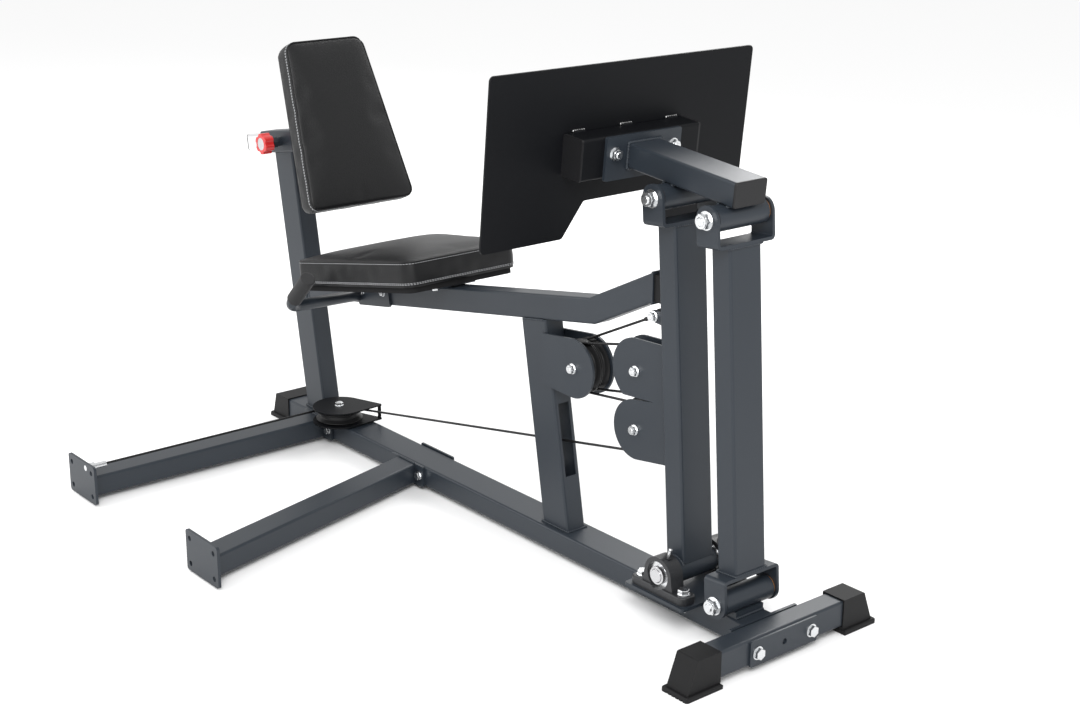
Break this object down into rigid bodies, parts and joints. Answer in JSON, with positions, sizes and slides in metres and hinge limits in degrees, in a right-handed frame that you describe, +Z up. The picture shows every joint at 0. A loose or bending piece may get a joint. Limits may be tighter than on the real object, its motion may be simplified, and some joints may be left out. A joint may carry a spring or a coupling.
{
  "type": "leg press station",
  "caption": "Leg press station for a home gym: padded seat, sliding reclined back pad, large footplate on a two-arm linkage and a cable run over pulleys.",
  "frame": {"origin": "centre of the whole station footprint, on the floor", "axes": "+X along the base rail from the seat towards the press arms, +Y across the station away from the gym it bolts to, +Z up"},
  "size_m": [1.7384, 0.934, 0.9894],
  "materials": {
    "frame_paint": "satin charcoal powder coat",
    "black_paint": "satin black powder coat",
    "cast_black": "painted casting",
    "zinc": "bright zinc plate",
    "steel": "ground steel",
    "chrome": "bright chrome plate",
    "bushing": "oiled bronze",
    "rubber": "moulded matt rubber",
    "grip": "dark matt rubber",
    "nylon": "moulded black nylon",
    "cap": "moulded black plastic",
    "red_knob": "glossy red",
    "pin_steel": "bright steel",
    "vinyl": "fine grained upholstery vinyl",
    "board": "plywood wrapped in black fabric",
    "cable": "smooth nylon jacket"
  },
  "bodies": {
    "frame": {"base_rail": "frame_paint", "bearing_hardware": "zinc", "cable_end_fitting": "zinc", "cable_frame_run": "cable", "cable_runs": "cable", "connecting_tubes": "frame_paint", "foot_bar_bolts": "zinc", "foot_caps": "rubber", "frame_bolts": "zinc", "frame_plates": "frame_paint", "frame_screws": "zinc", "front_foot_bar": "frame_paint", "front_pulley_guards": "frame_paint", "front_strut": "frame_paint", "hand_grips": "grip", "handle_bars": "frame_paint", "pillow_blocks": "cast_black", "rail_pivot_bushings": "bushing", "rail_pivot_tube": "frame_paint", "rear_pulley_bracket": "black_paint", "rear_upright": "frame_paint", "seat_beam": "frame_paint", "seat_board": "board", "seat_cushion": "vinyl", "seat_plate": "frame_paint", "sleeve_liner": "nylon", "slider_sleeve": "frame_paint", "stop_bumper": "rubber"},
    "press_arm": {"press_arm_tube": "frame_paint", "arm_shaft_tube": "frame_paint", "arm_shaft": "steel", "press_arm_clevis": "frame_paint", "arm_bolts": "zinc", "arm_brackets": "frame_paint", "cable_arm_wraps": "cable"},
    "rear_link": {"rear_link_tube": "frame_paint", "link_clevises": "frame_paint", "link_bolts": "zinc"},
    "footplate_carriage": {"top_beam": "frame_paint", "beam_pivot_tubes": "frame_paint", "beam_bushings": "bushing", "carriage_end_caps": "cap", "footplate_mount_plate": "frame_paint", "footplate_channel": "black_paint", "footplate_mount_bolts": "zinc", "footplate": "black_paint", "footplate_tread_mat": "rubber"},
    "pulley_far": {"front_pulley_far": "nylon"},
    "pulley_near": {"front_pulley_near": "nylon"},
    "pulley_arm_upper": {"arm_upper_pulley": "nylon"},
    "pulley_arm_lower": {"arm_lower_pulley": "nylon"},
    "pulley_rear": {"rear_pulley": "nylon"},
    "back_rest": {"slider_tube": "chrome", "slider_end_plug": "cap", "back_pad_bracket": "frame_paint", "back_pad_screws": "zinc", "back_board": "board", "back_cushion": "vinyl"},
    "pull_pin": {"lock_pin": "pin_steel", "lock_knob": "red_knob"}
  },
  "joints": [
    {"name": "press_arm_swing", "type": "hinge", "parent": "frame", "child": "press_arm", "pos_m": [0.62264, 0.159, 0.0985], "axis": [0, 1, 0], "range_deg": [0, 34], "deforming": ["cable_runs"]},
    {"name": "rear_link_swing", "type": "hinge", "parent": "frame", "child": "rear_link", "pos_m": [0.75464, 0.159, 0.0855], "axis": [0, 1, 0], "range_deg": [0, 34]},
    {"name": "carriage_level", "type": "hinge", "parent": "press_arm", "child": "footplate_carriage", "pos_m": [0.57014, 0.159, 0.7765], "axis": [0, 1, 0], "range_deg": [-34, 0]},
    {"name": "front_far_pulley_spin", "type": "hinge", "parent": "frame", "child": "pulley_far", "pos_m": [0.32064, 0.17, 0.398], "axis": [0, 1, 0], "range_deg": [0, 334]},
    {"name": "front_near_pulley_spin", "type": "hinge", "parent": "frame", "child": "pulley_near", "pos_m": [0.32064, 0.148, 0.398], "axis": [0, 1, 0], "range_deg": [0, 852]},
    {"name": "arm_upper_pulley_spin", "type": "hinge", "parent": "press_arm", "child": "pulley_arm_upper", "pos_m": [0.48164, 0.159, 0.433], "axis": [0, 1, 0], "range_deg": [0, 549]},
    {"name": "arm_lower_pulley_spin", "type": "hinge", "parent": "press_arm", "child": "pulley_arm_lower", "pos_m": [0.48264, 0.159, 0.32], "axis": [0, 1, 0], "range_deg": [-1028, 0]},
    {"name": "rear_pulley_spin", "type": "hinge", "parent": "frame", "child": "pulley_rear", "pos_m": [-0.49636, 0.134, 0.0765], "axis": [0, 0, 1], "range_deg": [-1226, 0]},
    {"name": "back_rest_slide", "type": "slide", "parent": "frame", "child": "back_rest", "axis": [0.9848, 0, 0.1736], "range_m": [-0.075, 0.05]},
    {"name": "pull_pin_slide", "type": "slide", "parent": "frame", "child": "pull_pin", "axis": [0, -1, 0], "range_m": [0, 0.012], "stiffness_N_per_m": 1500, "springref_m": -0.006}
  ],
  "couplings": [
    {"joint": "rear_link_swing", "follows": "press_arm_swing", "ratio": 1},
    {"joint": "carriage_level", "follows": "press_arm_swing", "ratio": -1},
    {"joint": "front_far_pulley_spin", "follows": "press_arm_swing", "ratio": 9.67},
    {"joint": "front_near_pulley_spin", "follows": "press_arm_swing", "ratio": 24.9},
    {"joint": "arm_upper_pulley_spin", "follows": "press_arm_swing", "ratio": 16},
    {"joint": "arm_lower_pulley_spin", "follows": "press_arm_swing", "ratio": -30.1},
    {"joint": "rear_pulley_spin", "follows": "press_arm_swing", "ratio": -35.9}
  ]
}
